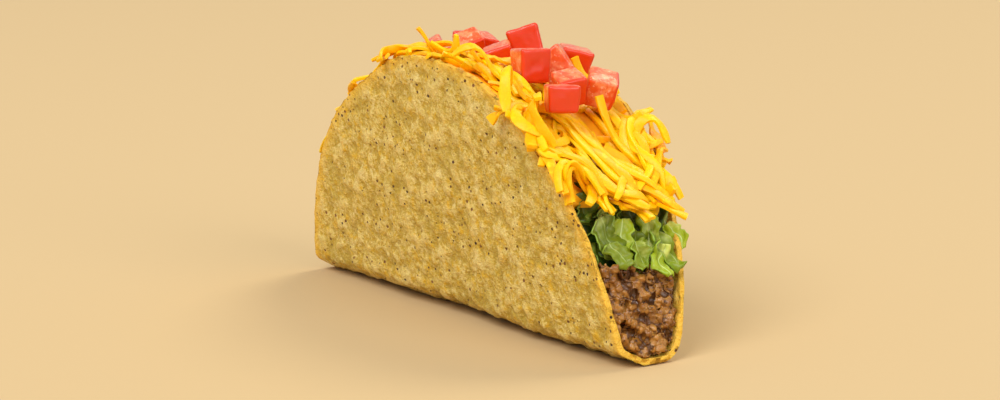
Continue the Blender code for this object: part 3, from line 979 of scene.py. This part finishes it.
def lies_well(line):
    """Whether a shred lies on the heap: not on top of a die, not standing up, and not hanging far outside."""
    along, across, up = line.T
    if up.min() < LOWEST_SHRED or up.max() > HIGHEST_SHRED:
        return False
    if across.min() < NEAREST_SHRED or across.max() > FARTHEST_SHRED:
        return False
    for name in DICE:
        low, high = (np.array(corner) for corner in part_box(name))
        middle = (low + high) / 2
        over = (np.hypot(along - middle[0], across - middle[1]) < 6.0 * MM) & (up > middle[2] + 0.5 * MM)
        if over.any():
            return False
    if (along[up < 60 * MM] * np.sign(along.mean()) > 66 * MM).any() or np.hypot(along, up).max() > 78 * MM:
        return False
    sideways = SIDEWAYS_ALONG * along + SIDEWAYS_ACROSS * across
    if (sideways > np.interp(up, SIDEWAYS_HEIGHTS, SIDEWAYS_LIMITS)).any():
        return False
    rim_along = -reach(np.interp(up, NEAR_WALL[2], NEAR_WALL[0]))
    rim_across = -np.interp(up, NEAR_WALL[2], NEAR_WALL[1]) - FLAT_MIDDLE
    rim_sideways = SIDEWAYS_ALONG * rim_along + SIDEWAYS_ACROSS * rim_across
    past_rim = (sideways < rim_sideways - 0.5 * MM) & (up < 63 * MM)
    if (past_rim & (along < -15 * MM)).any():
        return False
    arc = reach(np.minimum(np.abs(along), TORTILLA_RADIUS))
    for wall, side, longest in (
        (NEAR_WALL, -1, np.interp(along, NEAR_HANG_PLACES, NEAR_HANG_LIMITS)),
        (FAR_WALL, 1, FAR_HANG_LIMIT),
    ):
        face = side * np.interp(up, wall[2], wall[1]) - FLAT_MIDDLE
        rim = np.interp(arc, wall[0], wall[2])
        outside = side * (across - face) > -0.2 * MM
        stands_off = side * (across - face) > 2.6 * MM
        if (outside & (rim - up > longest)).any() or (stands_off & (up < 50 * MM)).any():
            return False
    return True


def finish_shreds(rows, counts, clearance, draw):
    """The shreds that lie well, each smoothed and given its own width, as one mesh."""
    work = bmesh.new()
    for row, count in zip(rows, counts):
        line = row[:count]
        if not lies_well(line):
            continue
        for _ in range(4):
            line[1:-1] = (line[:-2] + 2 * line[1:-1] + line[2:]) / 4
        width = SHRED_WIDTH * draw.uniform(0.75, 1.15)
        add_shred(work, line, clearance, draw, width)
    shreds = piece_from(work, "cheese_shreds")
    shreds.data.shade_smooth()
    shreds.data.set_sharp_from_angle(angle=math.radians(40))
    return shreds


cheese_finish = soft_cheese()
cheese_core = make_core("cheese_core", (30, 12, 2), cheese_core_shape)
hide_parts("cheese")
rows, counts, curls, clearance, draw = make_cheese_shreds(cheese_core)
rows = settle(rows, counts, curls, clearance, SETTLING_STEPS)
cheese_shreds = finish_shreds(rows, counts, clearance, draw)
inner_cheese, _, inner_shader = start_material("inner_cheese", Roughness=0.6)
inner_shader.inputs["Base Color"].default_value = (1.0, 0.46, 0.0, 1)
for piece, finish in ((cheese_core, inner_cheese), (cheese_shreds, cheese_finish)):
    give_finish(piece, finish)
    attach(piece, "root")


# The floor, the light and the camera: a plain pale sheet of paper, a warm lamp high behind the taco, and
# broad pale ones in front and off the open end.
FLOOR_COLOUR = (0.605, 0.428, 0.218, 1)
ROOM_COLOUR, ROOM_STRENGTH = (0.90, 0.96, 1.0, 1), 0.54
LIGHTS_AIM = Vector((0, 0, 0.03))


def add_light(name, place, size, watts, colour):
    """A round area lamp at this place, aimed at the middle of the taco."""
    light = bpy.data.lights.new(name, "AREA")
    light.shape = "DISK"
    light.size = size
    light.energy = watts
    light.color = colour
    lamp = new_piece(name, light)
    lamp.location = place
    lamp.rotation_euler = (LIGHTS_AIM - Vector(place)).to_track_quat("-Z", "Y").to_euler()


bpy.ops.object.select_all(action="DESELECT")
bpy.ops.mesh.primitive_plane_add(size=9.0, location=(0, 0, 0))
floor = bpy.context.object
floor.name = "floor"
paper, _, paper_shader = start_material("paper", Roughness=0.9)
paper_shader.inputs["Base Color"].default_value = FLOOR_COLOUR
floor.data.materials.append(paper)

add_light("key", (-0.74, 2.75, 3.84), 2.2, 90.0, (1.0, 0.90, 0.66))
add_light("fill", (1.44, -3.52, 4.16), 3.6, 225.0, (1.0, 0.99, 0.97))
add_light("end_light", (4.80, 0.32, 2.56), 3.0, 95.0, (1.0, 0.98, 0.95))
world = bpy.data.worlds.new("room")
world.use_nodes = True
background = world.node_tree.nodes["Background"]
background.inputs["Color"].default_value = ROOM_COLOUR
background.inputs["Strength"].default_value = ROOM_STRENGTH
bpy.context.scene.world = world
bpy.context.scene.view_settings.view_transform = "Standard"

CAMERA_AZIMUTH = math.radians(56.76)
CAMERA_ELEVATION = math.radians(9.86)
CAMERA_DISTANCE = 651.8 * MM
CAMERA_AIM = Vector((9.06, -2.25, 30.6)) * MM
CAMERA_SENSOR, CAMERA_LENS = 36.0, 92.6
towards_camera = Vector((
    math.sin(CAMERA_AZIMUTH) * math.cos(CAMERA_ELEVATION),
    -math.cos(CAMERA_AZIMUTH) * math.cos(CAMERA_ELEVATION),
    math.sin(CAMERA_ELEVATION),
))
camera = new_piece("camera", bpy.data.cameras.new("camera"))
camera.data.sensor_width = CAMERA_SENSOR
camera.data.lens = CAMERA_LENS
camera.location = CAMERA_AIM + towards_camera * CAMERA_DISTANCE
camera.rotation_euler = towards_camera.to_track_quat("Z", "Y").to_euler()
bpy.context.scene.camera = camera
